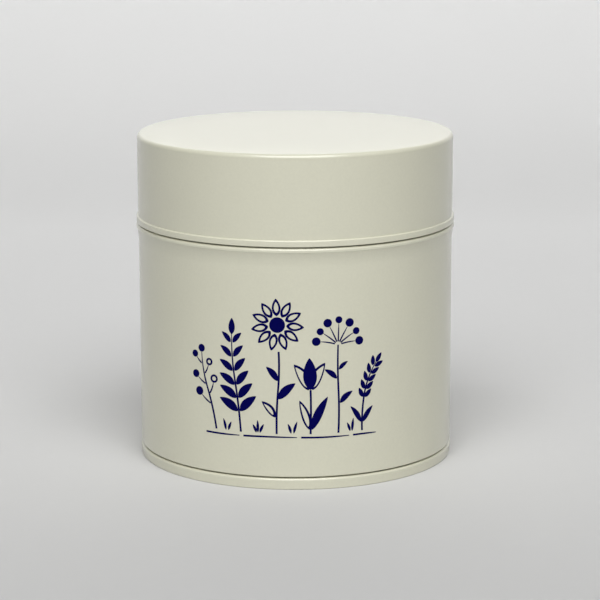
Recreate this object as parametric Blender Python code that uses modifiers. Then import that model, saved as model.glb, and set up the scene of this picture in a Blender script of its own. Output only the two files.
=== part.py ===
"""A round tin canister with its slip-over lid on, shut.

All sizes are in metres. The canister stands on the floor at the origin, with its axis along +Z and
its front towards -Y. Each piece is an outline turned about that axis.
"""
import math

import bpy

# Driving dimensions of the whole canister
HEIGHT = 0.0904
HEM_RADIUS = 0.0440
FACETS = 96
CLEARANCE = 0.0003

# Lid: a flat top, a straight skirt, and a rolled hem round its mouth
LID_RADIUS = HEM_RADIUS - 0.0005
LID_EDGE_ROUND = 0.0011
HEM_BOTTOM = 0.0657
HEM_HEIGHT = 0.0017
HEM_TAPER = 0.0001
HEM_TOP_ROUND = 0.0004
HEM_LIP_ROUND = 0.0003

# Body: a neck under the lid, a bead that the lid stops on, a flare and a straight wall
WALL_RADIUS = HEM_RADIUS - 0.0006
NECK_RADIUS = HEM_RADIUS - 0.0011
NECK_TOP = HEM_BOTTOM - CLEARANCE
BEAD_TOP = HEM_BOTTOM - 0.0005
BEAD_ROUND = 0.0006
BEAD_LOWER_ANGLE = -30
FLARE_HEIGHT = 0.0040
WALL_LOWER_ROUND = 0.0002

# Base end: a seamed rim round a panel that is let in from below
RIM_TOP = 0.0032
RIM_RADIUS = HEM_RADIUS - 0.00045
RIM_TAPER = 0.0002
RIM_TOP_ROUND = 0.00045
RIM_FOOT_ROUND = 0.0005
FOOT_WIDTH = 0.0009
RECESS_DEPTH = 0.0020
RECESS_DRAFT = 0.0003
RECESS_ROUND = 0.0005
WALL_BOTTOM = RIM_TOP + CLEARANCE

MERGE_DISTANCE = 0.00001
ENAMEL_COLOUR = (0.74, 0.745, 0.60, 1.0)
ENAMEL_ROUGHNESS = 0.32


def arc(centre, radius, start, end, steps):
    """Points of a round stretch, as (distance from the axis, height), with its angles in degrees."""
    angles = [math.radians(start + (end - start) * i / steps) for i in range(steps + 1)]
    return [(centre[0] + radius * math.cos(a), centre[1] + radius * math.sin(a)) for a in angles]


def lid_outline():
    """From the middle of the top, over the edge and the hem, to the middle of the underside."""
    edge = arc((LID_RADIUS - LID_EDGE_ROUND, HEIGHT - LID_EDGE_ROUND), LID_EDGE_ROUND, 90, 0, 5)
    hem_top = HEM_BOTTOM + HEM_HEIGHT
    ledge = arc((HEM_RADIUS - HEM_TOP_ROUND, hem_top - HEM_TOP_ROUND), HEM_TOP_ROUND, 90, 0, 3)
    lip_centre = (HEM_RADIUS - HEM_TAPER - HEM_LIP_ROUND, HEM_BOTTOM + HEM_LIP_ROUND)
    lip = arc(lip_centre, HEM_LIP_ROUND, 0, -90, 3)
    return [(0, HEIGHT)] + edge + [(LID_RADIUS, hem_top)] + ledge + lip + [(0, HEM_BOTTOM)]


def body_outline():
    """From the middle of the neck's top, down over the bead and the flare, to the middle of the bottom."""
    neck = [(0, NECK_TOP), (NECK_RADIUS, NECK_TOP), (NECK_RADIUS, BEAD_TOP)]
    bead_centre = (HEM_RADIUS - BEAD_ROUND, BEAD_TOP - BEAD_ROUND)
    bead = arc(bead_centre, BEAD_ROUND, 90, BEAD_LOWER_ANGLE, 7)
    flare_reach = bead[-1][0] - WALL_RADIUS
    flare_radius = (FLARE_HEIGHT**2 + flare_reach**2) / (2 * flare_reach)
    flare_turn = math.degrees(math.asin(FLARE_HEIGHT / flare_radius))
    flare_centre = (WALL_RADIUS + flare_radius, bead[-1][1] - FLARE_HEIGHT)
    flare = arc(flare_centre, flare_radius, 180 - flare_turn, 180, 4)
    corner_centre = (WALL_RADIUS - WALL_LOWER_ROUND, WALL_BOTTOM + WALL_LOWER_ROUND)
    corner = arc(corner_centre, WALL_LOWER_ROUND, 0, -90, 2)
    return neck + bead + flare[1:] + corner + [(0, WALL_BOTTOM)]


def base_outline():
    """From the middle of the panel, over the rim and its foot, to the middle of the recess."""
    shoulder = arc((RIM_RADIUS - RIM_TOP_ROUND, RIM_TOP - RIM_TOP_ROUND), RIM_TOP_ROUND, 90, 0, 3)
    foot_radius = RIM_RADIUS - RIM_TAPER - RIM_FOOT_ROUND
    foot = arc((foot_radius, RIM_FOOT_ROUND), RIM_FOOT_ROUND, 0, -90, 3)
    recess_radius = foot_radius - FOOT_WIDTH - RECESS_DRAFT
    corner_centre = (recess_radius - RECESS_ROUND, RECESS_DEPTH - RECESS_ROUND)
    corner = arc(corner_centre, RECESS_ROUND, 0, 90, 3)
    return [(0, RIM_TOP)] + shoulder + foot + [(foot_radius - FOOT_WIDTH, 0)] + corner + [(0, RECESS_DEPTH)]


def enamel(name):
    """Cream enamel on tinplate, one material for each piece."""
    material = bpy.data.materials.new(name)
    material.use_nodes = True
    shader = material.node_tree.nodes["Principled BSDF"]
    shader.inputs["Base Color"].default_value = ENAMEL_COLOUR
    shader.inputs["Roughness"].default_value = ENAMEL_ROUGHNESS
    shader.inputs["Metallic"].default_value = 0.0
    material.diffuse_color = ENAMEL_COLOUR
    return material


def turned(name, outline, collection):
    """One closed piece: the outline, as a line of edges, turned round the vertical axis."""
    mesh = bpy.data.meshes.new(name)
    edges = [(i, i + 1) for i in range(len(outline) - 1)]
    mesh.from_pydata([(radius, 0, height) for radius, height in outline], edges, [])
    mesh.materials.append(enamel(name + "_enamel"))
    piece = bpy.data.objects.new(name, mesh)
    collection.objects.link(piece)

    screw = piece.modifiers.new("Turn", "SCREW")
    screw.axis = "Z"
    screw.steps = FACETS
    screw.render_steps = FACETS
    screw.use_merge_vertices = True
    screw.merge_threshold = MERGE_DISTANCE
    screw.use_smooth_shade = True

    shading = piece.modifiers.new("Even shading", "WEIGHTED_NORMAL")
    shading.mode = "FACE_AREA"
    return piece


def main():
    for old in list(bpy.data.objects):
        bpy.data.objects.remove(old, do_unlink=True)
    collection = bpy.data.collections.new("tin_canister")
    bpy.context.scene.collection.children.link(collection)
    turned("lid", lid_outline(), collection)
    turned("body", body_outline(), collection)
    turned("base_end", base_outline(), collection)


main()
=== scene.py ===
"""Dresses a tin canister: fine turned shells, cream enamel, a printed front, and a pale studio."""
import math

import bmesh
import bpy
from bpy.props import FloatProperty, FloatVectorProperty, IntProperty, PointerProperty
from mathutils import Matrix, Vector


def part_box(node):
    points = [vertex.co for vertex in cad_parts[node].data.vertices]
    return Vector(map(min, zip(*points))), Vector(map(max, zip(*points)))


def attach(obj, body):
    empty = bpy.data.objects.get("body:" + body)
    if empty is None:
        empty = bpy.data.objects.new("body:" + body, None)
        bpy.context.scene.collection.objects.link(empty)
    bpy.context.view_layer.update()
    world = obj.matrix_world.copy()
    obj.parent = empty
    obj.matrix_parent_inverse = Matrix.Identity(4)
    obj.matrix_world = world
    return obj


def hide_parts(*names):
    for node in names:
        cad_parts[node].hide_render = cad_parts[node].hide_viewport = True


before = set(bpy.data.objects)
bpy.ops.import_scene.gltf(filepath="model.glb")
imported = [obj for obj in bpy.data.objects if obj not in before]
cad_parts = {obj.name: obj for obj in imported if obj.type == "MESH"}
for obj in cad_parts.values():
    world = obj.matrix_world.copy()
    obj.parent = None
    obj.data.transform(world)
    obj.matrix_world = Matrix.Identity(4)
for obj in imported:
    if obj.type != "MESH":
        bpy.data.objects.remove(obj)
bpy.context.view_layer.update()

bl_info = {
    "name": "Tin canister",
    "version": (1, 0, 0),
    "blender": (4, 5, 0),
    "location": "3D View > Sidebar > Canister",
    "description": "Models and finishes an enamelled tin canister with a slip-over lid",
    "category": "Object",
}

LID_LOW, LID_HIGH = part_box("lid")
BODY_LOW, BODY_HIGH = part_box("body")
BASE_LOW, BASE_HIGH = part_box("base_end")

PHOTO_PIXELS = 600
SENSOR_WIDTH = 36.0

# Turned shells, in metres
MERGE_DISTANCE = 1e-6
ROUND_SEGMENTS = 8
SHARP_ANGLE = math.radians(40)
CROWN_POWER = 7
CROWN_RINGS = 16
CROWN_EDGE_SHARE = 0.95
LEDGE_ROUND = 0.00005
FLARE_ROUND_SHARE = 0.37
WALL_FOOT_ROUND = 0.0003
PANEL_ROUND = 0.0003
RECESS_ROUND = 0.0006
SEAM_RAMP_SHARE = 0.25

# Printed shapes, drawn in millimetres
MM = 0.001
CUT_WIDTH = 1.2
CUT_SNAP = 0.001
FILM = 1.0
GAP = 0.05
RIM_SEGMENTS = 36
TAPER_POWER = 3
LEAF_POINT = 0.55
LEAF_BELLY = 0.22
HOLLOW_TIP = 1.6
HOLLOW_BEND = 0.92

# Tufts of grass, each (foot, blades), with each blade (lean, size)
TUFTS = (
    (-17.4, ((14, 3.2), (-20, 2.6))),
    (-8.6, ((24, 2.4), (2, 3.4), (-24, 2.6))),
    (0.6, ((18, 2.8), (-16, 3.4))),
    (16.6, ((20, 2.6), (-6, 3.6))),
)

# Ground line: where it starts, the gap between its runs, and each run as (length, turn)
GROUND_START = (-23.8, -0.6)
GROUND_GAP = 1.1
GROUND_RUNS = ((10.0, 3.4), (14.5, -2.9), (13.0, 2.9), (6.8, -4.0))

# Colour sockets of the mix node
MIX_LOW = 6
MIX_HIGH = 7
MIX_RESULT = 2


def length(name, description, default):
    """A length in metres that the sidebar shows with its unit."""
    return FloatProperty(name=name, description=description, default=default, precision=5, unit="LENGTH")


def colour(name, description, default):
    """A colour in linear light."""
    return FloatVectorProperty(name=name, description=description, default=default, size=3, subtype="COLOR")


class CanisterSizes(bpy.types.PropertyGroup):
    """Sizes of the lid, the body and the base"""
    turn_steps: IntProperty(name="Turn steps", description="Facets round each turned shell", default=256)
    lid_wall_inset: length("Lid wall inset", "How far the lid's wall stands in from its hem", 0.0005)
    lid_edge_round: length("Lid edge round", "Rounding between the lid's top and its wall", 0.0011)
    lid_crown: length("Lid crown", "How far the lid's top falls from its middle to its edge", 0.0004)
    hem_height: length("Hem height", "Height of the rolled hem round the lid's mouth", 0.0017)
    hem_taper: length("Hem taper", "How far the hem's top stands in from its lip", 0.0001)
    hem_top_round: length("Hem top round", "Rounding of the hem's upper edge", 0.00034)
    hem_lip_round: length("Hem lip round", "Rounding of the hem's lower edge", 0.00018)
    wall_inset: length("Wall inset", "How far the body's wall stands in from the lid's hem", 0.0006)
    neck_inset: length("Neck inset", "How far the neck stands in from the lid's hem", 0.0026)
    bead_drop: length("Bead drop", "Top of the neck down to the top of the bead", 0.00004)
    bead_height: length("Bead height", "Height of the bead that the lid stops on", 0.0012)
    bead_top_round: length("Bead top round", "Rounding of the bead's upper edge", 0.0008)
    bead_foot_round: length("Bead foot round", "Rounding of the bead's lower edge", 0.00008)
    flare_reach: length("Flare reach", "How far the wall flares out under the bead", 0.0005)
    flare_height: length("Flare height", "Height over which the wall flares out", 0.0038)
    seam_width: length("Seam width", "Width of the side seam at the back", 0.0026)
    seam_height: length("Seam height", "How far the side seam stands out", 0.00012)
    rim_taper: length("Rim taper", "How far the base rim draws in towards its foot", 0.0002)
    crease_gap: length("Crease gap", "Gap between the wall's foot and the top of the base rim", 0.00026)
    rim_drop: length("Rim drop", "Height of the base end's top down to the top of its rim", 0.0001)
    rim_top_round: length("Rim top round", "Rounding of the base rim's upper edge", 0.0008)
    rim_foot_round: length("Rim foot round", "Rounding of the base rim's foot", 0.0003)
    foot_width: length("Foot width", "Width of the flat that the canister stands on", 0.0009)
    recess_depth: length("Recess depth", "How far the base panel is let in", 0.0020)
    panel_bead_radius: length("Panel bead radius", "Radius of the bead pressed in the base panel", 0.0330)
    panel_bead_width: length("Panel bead width", "Width of that bead", 0.0030)
    panel_bead_depth: length("Panel bead depth", "Depth of that bead", 0.0005)


class CanisterPrint(bpy.types.PropertyGroup):
    """Sizes of the plants printed on the front"""
    ground_height: length("Ground height", "Height of the printed ground line above the floor", 0.0150)
    sideways: length("Sideways", "How far the print sits right of the middle", -0.0014)
    line_width: length("Line width", "Width of a drawn line", 0.00055)
    proud: length("Proud", "How far the ink stands above the enamel", 0.00003)
    sunk: length("Sunk", "How far the ink's underside lies in the enamel", 0.00005)


class CanisterColours(bpy.types.PropertyGroup):
    """Colours of the enamel, the ink and the studio, in linear light"""
    enamel: colour("Enamel", "Cream enamel", (0.750, 0.740, 0.596))
    ink: colour("Ink", "Navy ink", (0.001, 0.0012, 0.080))
    # The floor's colour carries a painted light falloff: darker in front, paler towards the backdrop.
    floor: colour("Floor", "Pale floor, which pales towards the backdrop", (0.525, 0.525, 0.521))


class CanisterStudio(bpy.types.PropertyGroup):
    """Camera and lights"""
    camera_distance: length("Camera distance", "From the canister's axis to the camera, level", 0.6769)
    camera_height: length("Camera height", "Camera above the floor", 0.1867)
    camera_sideways: length("Camera sideways", "Camera right of the canister's axis", 0.00126)
    camera_tilt: FloatProperty(
        name="Camera tilt", description="How far the camera looks down",
        default=math.radians(12.035), subtype="ANGLE",
    )
    camera_roll: FloatProperty(
        name="Camera roll", description="How far the camera leans to its right",
        default=math.radians(0.12), subtype="ANGLE",
    )
    focal_pixels: FloatProperty(
        name="Focal length in pixels", description="Focal length, in pixels of the photograph", default=2476.5
    )
    key_power: FloatProperty(
        name="Key light", description="Power of the box overhead in front", default=18.6, unit="POWER"
    )
    back_power: FloatProperty(
        name="Back light", description="Power of the box over the backdrop", default=6.6, unit="POWER"
    )
    horizon: FloatProperty(
        name="Horizon", description="Brightness of the surround at the horizon", default=0.05
    )
    zenith: FloatProperty(name="Zenith", description="Brightness of the surround overhead", default=0.02)


def turned(corners, steps):
    """A closed shell: an outline of (radius, height, rounding) corners, top to bottom, spun full circle."""
    shell = bmesh.new()
    points = [shell.verts.new((radius, 0.0, height)) for radius, height, _ in corners]
    for upper, lower in zip(points, points[1:]):
        shell.edges.new((upper, lower))
    for point, (_, _, rounding) in zip(points, corners):
        if rounding:
            bmesh.ops.bevel(
                shell, geom=[point], offset=rounding, offset_type="OFFSET", segments=ROUND_SEGMENTS,
                profile=0.5, affect="VERTICES", material=-1, clamp_overlap=False,
            )
    bmesh.ops.spin(
        shell, geom=shell.verts[:] + shell.edges[:], cent=(0, 0, 0), axis=(0, 0, 1), dvec=(0, 0, 0),
        angle=2 * math.pi, steps=steps, use_merge=True, use_duplicate=False,
    )
    bmesh.ops.remove_doubles(shell, verts=shell.verts[:], dist=MERGE_DISTANCE)
    bmesh.ops.recalc_face_normals(shell, faces=shell.faces[:])
    return shell


def finished(bm, name, material, nodes=()):
    """Makes an object of a closed mesh, and ties it to the frame."""
    if any(len(edge.link_faces) != 2 for edge in bm.edges):
        raise RuntimeError(f"{name} isn't closed")
    mesh = bpy.data.meshes.new(name)
    bm.to_mesh(mesh)
    bm.free()
    mesh.materials.append(material)
    mesh.shade_smooth()
    mesh.set_sharp_from_angle(angle=SHARP_ANGLE)
    piece = bpy.data.objects.new(name, mesh)
    bpy.context.scene.collection.objects.link(piece)
    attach(piece, "root")
    if nodes:
        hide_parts(*nodes)
    return piece


def even_shading(piece):
    """Large faces keep their own normals, so that walls and flats stay true up to their rounded edges."""
    shading = piece.modifiers.new("Even shading", "WEIGHTED_NORMAL")
    shading.mode = "FACE_AREA"
    shading.keep_sharp = True


class Nodes:
    """Adds and links the nodes of one material."""

    def __init__(self, name):
        self.material = bpy.data.materials.new(name)
        self.material.use_nodes = True
        self.tree = self.material.node_tree
        self.shader = self.tree.nodes["Principled BSDF"]

    def add(self, kind, inputs=None, **settings):
        node = self.tree.nodes.new(kind)
        for key, value in settings.items():
            setattr(node, key, value)
        for key, value in (inputs or {}).items():
            if isinstance(value, bpy.types.NodeSocket):
                self.tree.links.new(value, node.inputs[key])
            else:
                node.inputs[key].default_value = value
        return node

    def noise(self, scale, detail=2.0, roughness=0.5):
        """Soft noise on Object coordinates, with scale in features per metre."""
        place = self.add("ShaderNodeTexCoord").outputs["Object"]
        inputs = {"Vector": place, "Scale": scale, "Detail": detail, "Roughness": roughness}
        return self.add("ShaderNodeTexNoise", inputs).outputs["Fac"]

    def spread(self, value, low, high):
        """A 0 to 1 value moved to a range."""
        inputs = {"Value": value, "To Min": low, "To Max": high}
        return self.add("ShaderNodeMapRange", inputs, clamp=False).outputs["Result"]

    def varied(self, factor, base, low, high):
        """A colour that a 0 to 1 factor takes from a darker to a lighter shade of its base."""
        inputs = {"Factor": factor, MIX_LOW: (*(base * low), 1), MIX_HIGH: (*(base * high), 1)}
        return self.add("ShaderNodeMix", inputs, data_type="RGBA").outputs[MIX_RESULT]

    def relief(self, height, strength, distance, under=None):
        """Normals of a low relief, laid over another relief if one is given."""
        inputs = {"Height": height, "Strength": strength, "Distance": distance}
        if under:
            inputs["Normal"] = under
        return self.add("ShaderNodeBump", inputs).outputs["Normal"]

    def set(self, **inputs):
        """Sets or links sockets of the shader, named with _ for a space."""
        for key, value in inputs.items():
            socket = self.shader.inputs[key.replace("_", " ")]
            if isinstance(value, bpy.types.NodeSocket):
                self.tree.links.new(value, socket)
            else:
                socket.default_value = value


def enamel_material(colours):
    """Cream enamel: a slow drift of tone, a fine mottle, and the faint orange peel of stoved paint."""
    nodes = Nodes("cream_enamel")
    drift = nodes.noise(scale=45.0, detail=2.0)
    mottle = nodes.noise(scale=1400.0, detail=3.0, roughness=0.65)
    tone = nodes.varied(drift, Vector(colours.enamel), low=0.985, high=1.015)
    grain = nodes.spread(mottle, low=0.955, high=1.045)
    speckled = nodes.add("ShaderNodeVectorMath", {0: tone, 1: grain}, operation="MULTIPLY")
    peel = nodes.relief(nodes.noise(scale=650.0, detail=2.0), strength=0.35, distance=0.00001)
    nodes.set(
        Base_Color=speckled.outputs[0], Roughness=nodes.spread(mottle, low=0.26, high=0.36), IOR=1.5,
        Coat_Weight=0.6, Coat_Roughness=0.1,
        Normal=nodes.relief(mottle, strength=0.3, distance=0.000006, under=peel),
    )
    return nodes.material


def ink_material(colours):
    """Navy ink: dense, with the slight unevenness of a printed film."""
    nodes = Nodes("navy_ink")
    film = nodes.noise(scale=900.0, detail=3.0, roughness=0.6)
    nodes.set(
        Base_Color=nodes.varied(film, Vector(colours.ink), low=0.8, high=1.25),
        Roughness=nodes.spread(film, low=0.44, high=0.56), Specular_IOR_Level=0.03,
        Normal=nodes.relief(film, strength=0.3, distance=0.000006),
    )
    return nodes.material


def floor_material(colours):
    """Pale matt floor with a fine, even tooth, and a painted light falloff: darker in front, paler towards
    the backdrop.
    """
    nodes = Nodes("pale_floor")
    place = nodes.add("ShaderNodeTexCoord").outputs["Object"]
    depth = nodes.add("ShaderNodeSeparateXYZ", {"Vector": place}).outputs["Y"]
    # Painted light falloff: the floor's colour grows from its own tone in front to 1.82 times as pale on the
    # backdrop.
    painted_falloff = {"Value": depth, "From Min": -0.2, "From Max": 0.35, "To Min": 1.0, "To Max": 1.82}
    rise = nodes.add("ShaderNodeMapRange", painted_falloff).outputs["Result"]
    tooth = nodes.spread(nodes.noise(scale=260.0, detail=4.0, roughness=0.6), low=0.99, high=1.01)
    shade = nodes.add("ShaderNodeMath", {0: tooth, 1: rise}, operation="MULTIPLY").outputs["Value"]
    tone = nodes.add("ShaderNodeVectorMath", {0: Vector(colours.floor), 1: shade}, operation="MULTIPLY")
    nodes.set(Base_Color=tone.outputs[0], Roughness=0.85)
    return nodes.material


def shared_material(name, make):
    """The named material, made the first time that it is asked for."""
    return bpy.data.materials.get(name) or make(bpy.context.scene.canister_colours)


class CANISTER_OT_lid(bpy.types.Operator):
    """Turn the slip-over lid, with its crowned top, rounded edge and rolled hem"""
    bl_idname = "canister.lid"
    bl_label = "Lid"

    def execute(self, context):
        sizes = context.scene.canister_sizes
        hem = LID_HIGH.x
        wall = hem - sizes.lid_wall_inset
        hem_top = LID_LOW.z + sizes.hem_height
        edge = wall - sizes.lid_edge_round
        edge_slope = CROWN_POWER * sizes.lid_crown / edge
        edge_height = LID_HIGH.z - sizes.lid_crown - edge_slope * sizes.lid_edge_round
        crown = []
        for ring in range(CROWN_RINGS + 1):
            share = math.sqrt(ring / CROWN_RINGS)
            crown.append((edge * share, LID_HIGH.z - sizes.lid_crown * share**CROWN_POWER, 0))
        corners = crown + [
            (wall, edge_height, sizes.lid_edge_round * CROWN_EDGE_SHARE),
            (wall, hem_top, LEDGE_ROUND),
            (hem - sizes.hem_taper, hem_top, sizes.hem_top_round),
            (hem, LID_LOW.z, sizes.hem_lip_round),
            (0, LID_LOW.z, 0),
        ]
        material = shared_material("cream_enamel", enamel_material)
        lid = finished(turned(corners, sizes.turn_steps), "lid_shell", material, ["lid"])
        even_shading(lid)
        return {"FINISHED"}


class CANISTER_OT_body(bpy.types.Operator):
    """Turn the body, with its neck, bead and flare, and raise the side seam at its back"""
    bl_idname = "canister.body"
    bl_label = "Body"

    def execute(self, context):
        sizes = context.scene.canister_sizes
        bead = BODY_HIGH.x
        wall = LID_HIGH.x - sizes.wall_inset
        neck = LID_HIGH.x - sizes.neck_inset
        bead_top = BODY_HIGH.z - sizes.bead_drop
        flare_top = bead_top - sizes.bead_height
        flare_round = sizes.flare_height * FLARE_ROUND_SHARE
        foot = BASE_HIGH.z + sizes.crease_gap
        corners = [
            (0, BODY_HIGH.z, 0),
            (neck, BODY_HIGH.z, 0),
            (neck, bead_top, 0),
            (bead, bead_top, sizes.bead_top_round),
            (bead, flare_top, sizes.bead_foot_round),
            (wall + sizes.flare_reach, flare_top, 0),
            (wall, flare_top - sizes.flare_height + flare_round, flare_round),
            (wall, foot, WALL_FOOT_ROUND),
            (0, foot, 0),
        ]
        shell = turned(corners, sizes.turn_steps)
        raise_seam(shell, sizes, wall, foot, flare_top)
        material = shared_material("cream_enamel", enamel_material)
        body = finished(shell, "body_shell", material, ["body"])
        even_shading(body)
        return {"FINISHED"}


def raise_seam(shell, sizes, wall, low, high):
    """A welded side seam: the wall's columns at the back are cut finer, and the middle ones stand out."""
    half = sizes.seam_width / 2
    ramp = half * SEAM_RAMP_SHARE
    for x in (-half - ramp, -half, -half + ramp, half - ramp, half, half + ramp):
        near = []
        for face in shell.faces:
            middle = face.calc_center_median()
            if middle.y > wall * 0.9 and abs(middle.x) < sizes.seam_width * 1.5:
                near.append(face)
        edges = [edge for face in near for edge in face.edges]
        verts = [vert for face in near for vert in face.verts]
        around = list(dict.fromkeys(near + edges + verts))
        bmesh.ops.bisect_plane(
            shell, geom=around, dist=MERGE_DISTANCE, plane_co=(x, 0, 0), plane_no=(1, 0, 0)
        )
    for vert in shell.verts:
        on_back = vert.co.y > 0 and vert.co.xy.length > wall * 0.99
        if on_back and abs(vert.co.x) < half and low < vert.co.z < high:
            rise = min(1.0, (half - abs(vert.co.x)) / ramp)
            room = BODY_HIGH.x - vert.co.xy.length
            outward = vert.co.xy.normalized() * min(sizes.seam_height * rise, room)
            vert.co.x += outward.x
            vert.co.y += outward.y


class CANISTER_OT_base(bpy.types.Operator):
    """Turn the seamed base end, with its rim, its foot and the panel let in between"""
    bl_idname = "canister.base"
    bl_label = "Base end"

    def execute(self, context):
        sizes = context.scene.canister_sizes
        rim = BASE_HIGH.x
        foot = rim - sizes.rim_taper
        foot_inner = foot - sizes.rim_foot_round - sizes.foot_width
        recess = foot_inner - sizes.rim_foot_round
        bead_outer = sizes.panel_bead_radius + sizes.panel_bead_width / 2
        bead_inner = sizes.panel_bead_radius - sizes.panel_bead_width / 2
        bead_low = sizes.recess_depth - sizes.panel_bead_depth
        slope = sizes.panel_bead_depth
        shoulder = rim - sizes.rim_top_round * 2
        rim_top = BASE_HIGH.z - sizes.rim_drop
        corners = [
            (0, BASE_HIGH.z, 0),
            (shoulder, BASE_HIGH.z, 0),
            (shoulder, rim_top, 0),
            (rim, rim_top, sizes.rim_top_round),
            (foot, BASE_LOW.z, sizes.rim_foot_round),
            (foot_inner, BASE_LOW.z, PANEL_ROUND),
            (recess, sizes.recess_depth, RECESS_ROUND),
            (bead_outer, sizes.recess_depth, PANEL_ROUND),
            (bead_outer - slope, bead_low, PANEL_ROUND),
            (bead_inner + slope, bead_low, PANEL_ROUND),
            (bead_inner, sizes.recess_depth, PANEL_ROUND),
            (0, sizes.recess_depth, 0),
        ]
        material = shared_material("cream_enamel", enamel_material)
        base = finished(turned(corners, sizes.turn_steps), "base_shell", material, ["base_end"])
        even_shading(base)
        return {"FINISHED"}


def toward(heading):
    """A step of one in a direction given in degrees, counted from straight right."""
    angle = math.radians(heading)
    return Vector((math.cos(angle), math.sin(angle)))


def at(spots, share):
    """The spot of (place, heading) at a share of a drawn line's steps."""
    step, rest = divmod(share * (len(spots) - 1), 1)
    (place, heading), (next_place, next_heading) = spots[int(step)], spots[int(step) + 1]
    return place.lerp(next_place, rest), heading + (next_heading - heading) * rest


class Drawing:
    """Flat shapes drawn in millimetres and degrees in the plane of the print, then wrapped round the wall."""

    def __init__(self, line):
        self.bm = bmesh.new()
        self.line = line / MM

    def stroke(self, start, heading, arcs, width=1.0, tip=0.35):
        """A line of arcs, each (length, turn), that thins to its tip. Returns spots of (place, heading)."""
        middle = Vector(start)
        across = toward(heading + 90) * self.line * width / 2
        rung = [self.bm.verts.new((*(middle + across), 0)), self.bm.verts.new((*(middle - across), 0))]
        geometry = rung + [self.bm.edges.new(rung)]
        rungs, spots = [rung], [(middle, heading)]
        for reach, turn in arcs:
            centre = middle + toward(heading + 90) * reach / math.radians(turn)
            steps = max(2, round(reach / CUT_WIDTH))
            for _ in range(steps):
                made = bmesh.ops.spin(
                    self.bm, geom=geometry, cent=(*centre, 0), axis=(0, 0, 1), dvec=(0, 0, 0),
                    angle=math.radians(turn / steps), steps=1, use_duplicate=False,
                )
                geometry = made["geom_last"]
                rung = [part for part in geometry if isinstance(part, bmesh.types.BMVert)]
                heading += turn / steps
                middle = (rung[0].co.xy + rung[1].co.xy) / 2
                rungs.append(rung)
                spots.append((middle, heading))
        for i, rung in enumerate(rungs):
            share = 1 - (1 - tip) * (i / (len(rungs) - 1))**TAPER_POWER
            core = (rung[0].co + rung[1].co) / 2
            bmesh.ops.scale(self.bm, verts=rung, vec=(share, share, 1), space=Matrix.Translation(-core))
        return spots

    def beside(self, spot, side):
        """A point just clear of a line, on its left (side 1) or its right (side -1)."""
        place, heading = spot
        return place + toward(heading + 90 * side) * (self.line / 2 + GAP)

    def rim(self, middle, heading, half_length, half_width, cap, pointed, bend):
        """The outline of a dot or a leaf about its middle, filled if it has a cap. Returns its edges."""
        made = bmesh.ops.create_circle(self.bm, cap_ends=cap, segments=RIM_SEGMENTS, radius=1.0)
        turn = Matrix.Rotation(math.radians(heading), 4, "Z")
        for vert in made["verts"]:
            along, across = vert.co.x, vert.co.y
            if pointed:
                across *= abs(across)**LEAF_POINT * (1.0 - LEAF_BELLY * along)
            rise = across * half_width + bend * half_length * (1 - along**2)
            vert.co = turn @ Vector((along * half_length, rise, 0.0)) + Vector((*middle, 0.0))
        return list(dict.fromkeys(edge for vert in made["verts"] for edge in vert.link_edges))

    def dot(self, spot, radius, ring=False):
        """A dot at the end of a line, filled or as a ring."""
        middle = spot[0] + toward(spot[1]) * (radius + GAP)
        outer = self.rim(middle, 0, radius, radius, not ring, False, 0)
        if ring:
            inner = self.rim(middle, 0, radius - self.line, radius - self.line, False, False, 0)
            bmesh.ops.bridge_loops(self.bm, edges=outer + inner)

    def leaf(self, root, heading, size, width, hollow=False, bend=0.0):
        """A pointed leaf from its root, filled or in outline."""
        middle = root + toward(heading) * size / 2
        outer = self.rim(middle, heading, size / 2, width / 2, not hollow, True, bend)
        if hollow:
            inner_length = size / 2 - self.line * HOLLOW_TIP
            inner_width = width / 2 - self.line
            inner = self.rim(middle, heading, inner_length, inner_width, False, True, bend * HOLLOW_BEND)
            bmesh.ops.bridge_loops(self.bm, edges=outer + inner)

    def side_leaf(self, spot, side, lean, size, width, droop=0.0, hollow=False):
        """A leaf that leans out from the left (side 1) or the right (side -1) of a line, and droops."""
        heading = spot[1] + lean * side
        self.leaf(self.beside(spot, side), heading, size, width, hollow, bend=-droop * side)

    def wrapped(self, layout, wall):
        """Cuts the shapes fine enough to bend, gives them their thickness, and lays them round the wall."""
        bm = self.bm
        reach = max(abs(vert.co.x) for vert in bm.verts)
        cut = -reach
        while cut < reach:
            cut += CUT_WIDTH
            shapes = bm.verts[:] + bm.edges[:] + bm.faces[:]
            bmesh.ops.bisect_plane(bm, geom=shapes, dist=CUT_SNAP, plane_co=(cut, 0, 0), plane_no=(1, 0, 0))
        bmesh.ops.triangulate(bm, faces=[face for face in bm.faces if len(face.verts) > 4])
        bm.normal_update()
        bmesh.ops.reverse_faces(bm, faces=[face for face in bm.faces if face.normal.z < 0])
        made = bmesh.ops.extrude_face_region(bm, geom=bm.faces[:], use_keep_orig=True)
        if not all(edge.is_contiguous for edge in bm.edges):
            raise RuntimeError("the print has faces that point inwards")
        raised = [part for part in made["geom"] if isinstance(part, bmesh.types.BMVert)]
        bmesh.ops.translate(bm, verts=raised, vec=(0, 0, FILM))
        for vert in bm.verts:
            angle = (vert.co.x * MM + layout.sideways) / wall
            radius = wall + (layout.proud if vert.co.z > FILM / 2 else -layout.sunk)
            height = vert.co.y * MM + layout.ground_height
            vert.co = Vector((radius * math.sin(angle), -radius * math.cos(angle), height))
        bm.normal_update()
        return bm


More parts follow.
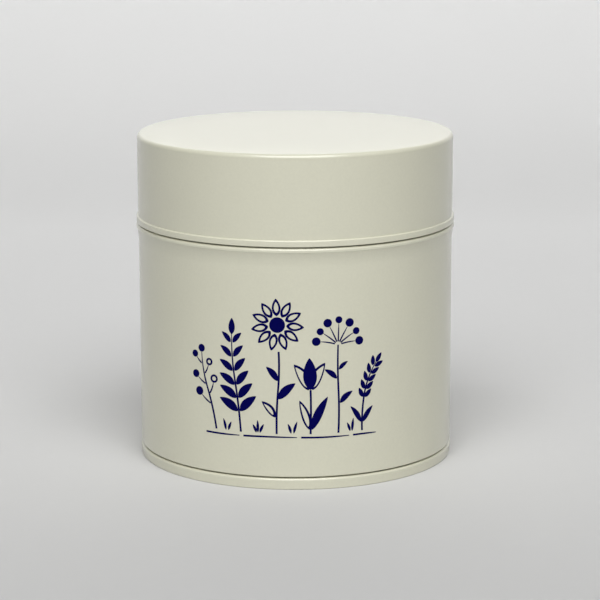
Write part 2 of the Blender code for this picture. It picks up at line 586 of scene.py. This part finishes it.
class CANISTER_OT_print(bpy.types.Operator):
    """Print a row of garden plants in navy on the front of the body"""
    bl_idname = "canister.print"
    bl_label = "Front print"

    def execute(self, context):
        sizes = context.scene.canister_sizes
        layout = context.scene.canister_print
        drawing = Drawing(layout.line_width)
        draw_berries(drawing, foot=-20.6)
        draw_sprig(drawing, foot=-13.4)
        draw_daisy(drawing, foot=-3.6)
        draw_tulip(drawing, foot=5.4)
        draw_umbel(drawing, foot=12.9)
        draw_grass(drawing, foot=19.6)
        for foot, blades in TUFTS:
            draw_tuft(drawing, foot, blades)
        draw_ground(drawing)
        bm = drawing.wrapped(layout, LID_HIGH.x - sizes.wall_inset)
        finished(bm, "front_print", shared_material("navy_ink", ink_material))
        return {"FINISHED"}


def draw_berries(drawing, foot):
    """A leaning twig with berries on short stalks."""
    spots = drawing.stroke((foot, 0.5), 99, [(11.5, 10), (9.5, -17)])
    for i, (share, side) in enumerate(((0.34, 1), (0.47, -1), (0.60, 1), (0.73, -1), (0.86, 1))):
        spot = at(spots, share)
        heading = spot[1] + 48 * side
        reach = 3.4 - 0.3 * i
        stalk = drawing.stroke(drawing.beside(spot, side), heading, [(reach, -20 * side)], width=0.8)
        drawing.dot(stalk[-1], radius=1.2 - 0.06 * i, ring=i % 2 == 1)
    drawing.dot(spots[-1], radius=1.05)


def draw_sprig(drawing, foot):
    """An upright sprig of filled leaves in pairs."""
    spots = drawing.stroke((foot, 0.4), 94, [(14.0, 5), (12.5, -10)])
    for i in range(6):
        spot = at(spots, 0.22 + 0.14 * i)
        size = 6.2 - 0.5 * i
        for side in (1, -1):
            drawing.side_leaf(spot, side, lean=52 - 2 * i, size=size, width=size * 0.38, droop=0.10)
    tip, heading = spots[-1]
    drawing.leaf(tip, heading, size=4.4, width=1.8)


def draw_daisy(drawing, foot):
    """A tall daisy: outlined petals round a filled eye, and leaves on its stalk."""
    spots = drawing.stroke((foot, 0.3), 91, [(12.0, -6), (10.4, 8)], tip=1.0)
    eye, petal, petals = 2.1, 4.7, 11
    tip, heading = spots[-1]
    middle = tip + toward(heading) * (eye + petal + 0.4)
    drawing.dot((middle - toward(heading) * (eye + GAP), heading), eye)
    for i in range(petals):
        out = heading + 180 + (i + 0.5) * 360 / petals
        drawing.leaf(middle + toward(out) * (eye + 0.3), out, petal, width=2.3, hollow=True)
    for share, side, size, hollow in ((0.20, 1, 5.6, True), (0.42, -1, 6.2, False), (0.64, 1, 4.8, False)):
        drawing.side_leaf(at(spots, share), side, 42, size, size * 0.36, droop=0.12, hollow=hollow)


def draw_tulip(drawing, foot):
    """A broad cup on a short stalk between two blades."""
    spots = drawing.stroke((foot, 0.3), 88, [(12.0, 4)], tip=1.0)
    tip, heading = spots[-1]
    drawing.leaf(tip + toward(heading) * GAP, heading, size=8.6, width=3.6)
    for side in (1, -1):
        root = tip + toward(heading + 90 * side) * 0.5
        drawing.leaf(root, heading + 27 * side, size=8.0, width=3.0, hollow=True, bend=-0.14 * side)
    for side, lean, size, hollow in ((1, 20, 8.4, True), (-1, 24, 9.8, False)):
        drawing.side_leaf(spots[1], side, lean, size, width=2.3, droop=0.06, hollow=hollow)


def draw_umbel(drawing, foot):
    """A fan of fine stalks, each with a dot at its end."""
    spots = drawing.stroke((foot, 0.3), 87, [(12.0, 6), (12.0, -5)], tip=0.8)
    tip, heading = spots[-1]
    for i in range(7):
        lean = (i - 3) / 3
        out = heading - 74 * lean
        arc = (4.8 - 0.9 * abs(lean), 0.5 - 14 * lean)
        ray = drawing.stroke(tip + toward(out) * 0.9, out, [arc], width=0.7)
        drawing.dot(ray[-1], radius=0.95 if i % 2 else 1.15)
    for share, side, size in ((0.34, -1, 4.6), (0.62, 1, 4.2), (0.72, -1, 3.2)):
        drawing.side_leaf(at(spots, share), side, 50, size, size * 0.34, droop=0.12)


def draw_grass(drawing, foot):
    """A bending ear of grass with a row of grains on each side."""
    spots = drawing.stroke((foot, 0.4), 92, [(9.5, -11), (9.5, -26)])
    for i in range(5):
        spot = at(spots, 0.48 + 0.115 * i)
        for side in (1, -1):
            drawing.side_leaf(spot, side, lean=32, size=2.8, width=1.25)
    tip, heading = spots[-1]
    drawing.leaf(tip, heading, size=3.0, width=1.25)
    for side, size in ((1, 5.4), (-1, 5.0)):
        drawing.side_leaf(spots[2], side, 34, size, width=1.4, droop=0.10)


def draw_tuft(drawing, foot, blades):
    """Short blades of grass that fan out from one foot, each (lean, size)."""
    for lean, size in blades:
        root = Vector((foot - lean * 0.02, 0.5))
        drawing.leaf(root, 90 + lean, size, width=0.75, bend=-0.003 * lean)


def draw_ground(drawing):
    """A broken ground line, a little wavy, under the whole row."""
    left, height = GROUND_START
    for run, turn in GROUND_RUNS:
        drawing.stroke((left, height), -turn / 2, [(run, turn)], width=0.9, tip=0.4)
        left += run + GROUND_GAP


class CANISTER_OT_stage(bpy.types.Operator):
    """Set out the pale floor, the soft lights and the camera"""
    bl_idname = "canister.stage"
    bl_label = "Stage"

    def execute(self, context):
        studio = context.scene.canister_studio
        make_sweep()
        make_light("key_box", studio.key_power, size=(1.1, 1.0), place=(0.02, -0.75, 1.10))
        make_light(
            "back_box", studio.back_power, size=(1.6, 0.4), place=(0.0, 0.85, 1.0), target=(0.0, 1.3, 0.8)
        )
        context.scene.world = make_surround(studio)
        context.scene.view_settings.view_transform = "Standard"

        lens = bpy.data.cameras.new("camera")
        lens.sensor_width = SENSOR_WIDTH
        lens.lens = studio.focal_pixels / PHOTO_PIXELS * SENSOR_WIDTH
        camera = bpy.data.objects.new("camera", lens)
        camera.location = (studio.camera_sideways, -studio.camera_distance, studio.camera_height)
        level = Matrix.Rotation(math.pi / 2 - studio.camera_tilt, 3, "X")
        camera.rotation_euler = (level @ Matrix.Rotation(-studio.camera_roll, 3, "Z")).to_euler()
        context.scene.collection.objects.link(camera)
        context.scene.camera = camera
        return {"FINISHED"}


def make_surround(studio):
    """A studio that is pale at the horizon and dim overhead."""
    world = bpy.data.worlds.new("surround")
    world.use_nodes = True
    tree = world.node_tree
    place = tree.nodes.new("ShaderNodeTexCoord")
    height = tree.nodes.new("ShaderNodeSeparateXYZ")
    fade = tree.nodes.new("ShaderNodeMapRange")
    tree.links.new(place.outputs["Generated"], height.inputs["Vector"])
    tree.links.new(height.outputs["Z"], fade.inputs["Value"])
    tree.links.new(fade.outputs["Result"], tree.nodes["Background"].inputs["Strength"])
    fade.inputs["From Min"].default_value = 0.1
    fade.inputs["From Max"].default_value = 0.5
    fade.inputs["To Min"].default_value = studio.horizon
    fade.inputs["To Max"].default_value = studio.zenith
    tree.nodes["Background"].inputs["Color"].default_value = (1.0, 1.0, 1.0, 1.0)
    return world


def make_sweep():
    """A floor that curves up into a backdrop behind the canister."""
    front, back, top, side, bend = -1.6, 1.3, 1.6, 2.2, 0.7
    sweep = bmesh.new()
    corners = [sweep.verts.new((-side, y, z)) for y, z in ((front, 0.0), (back, 0.0), (back, top))]
    edges = [sweep.edges.new(pair) for pair in zip(corners, corners[1:])]
    bmesh.ops.bevel(
        sweep, geom=[corners[1]], offset=bend, offset_type="OFFSET", segments=24, profile=0.5,
        affect="VERTICES", material=-1,
    )
    made = bmesh.ops.extrude_edge_only(sweep, edges=sweep.edges[:])
    moved = [part for part in made["geom"] if isinstance(part, bmesh.types.BMVert)]
    bmesh.ops.translate(sweep, verts=moved, vec=(2 * side, 0, 0))
    bmesh.ops.recalc_face_normals(sweep, faces=sweep.faces[:])
    mesh = bpy.data.meshes.new("floor")
    sweep.to_mesh(mesh)
    sweep.free()
    mesh.shade_smooth()
    mesh.materials.append(shared_material("pale_floor", floor_material))
    floor = bpy.data.objects.new("floor", mesh)
    bpy.context.scene.collection.objects.link(floor)


def make_light(name, power, size, place, target=(0.0, 0.0, 0.045)):
    """A soft box that faces the canister's middle, or another target."""
    light = bpy.data.lights.new(name, "AREA")
    light.shape = "RECTANGLE"
    light.size, light.size_y = size
    light.energy = power
    box = bpy.data.objects.new(name, light)
    box.location = place
    aim = Vector(target) - Vector(place)
    box.rotation_euler = aim.to_track_quat("-Z", "Y").to_euler()
    bpy.context.scene.collection.objects.link(box)


class CANISTER_PT_panel(bpy.types.Panel):
    """Lists the canister's pieces and its sizes"""
    bl_idname = "CANISTER_PT_panel"
    bl_label = "Tin canister"
    bl_space_type = "VIEW_3D"
    bl_region_type = "UI"
    bl_category = "Canister"

    def draw(self, context):
        for operator in OPERATORS:
            self.layout.operator(operator.bl_idname)
        for group in ("canister_sizes", "canister_print", "canister_colours", "canister_studio"):
            settings = getattr(context.scene, group)
            column = self.layout.column(align=True)
            for name in settings.bl_rna.properties.keys():
                if name not in {"rna_type", "name"}:
                    column.prop(settings, name)


GROUPS = {
    "canister_sizes": CanisterSizes,
    "canister_print": CanisterPrint,
    "canister_colours": CanisterColours,
    "canister_studio": CanisterStudio,
}
OPERATORS = (CANISTER_OT_stage, CANISTER_OT_lid, CANISTER_OT_body, CANISTER_OT_base, CANISTER_OT_print)


def register():
    for name, group in GROUPS.items():
        bpy.utils.register_class(group)
        setattr(bpy.types.Scene, name, PointerProperty(type=group))
    for operator in OPERATORS:
        bpy.utils.register_class(operator)
    bpy.utils.register_class(CANISTER_PT_panel)


def unregister():
    bpy.utils.unregister_class(CANISTER_PT_panel)
    for operator in reversed(OPERATORS):
        bpy.utils.unregister_class(operator)
    for name, group in reversed(GROUPS.items()):
        delattr(bpy.types.Scene, name)
        bpy.utils.unregister_class(group)


def main():
    register()
    bpy.ops.canister.stage()
    bpy.ops.canister.lid()
    bpy.ops.canister.body()
    bpy.ops.canister.base()
    bpy.ops.canister.print()


if __name__ == "__main__":
    main()
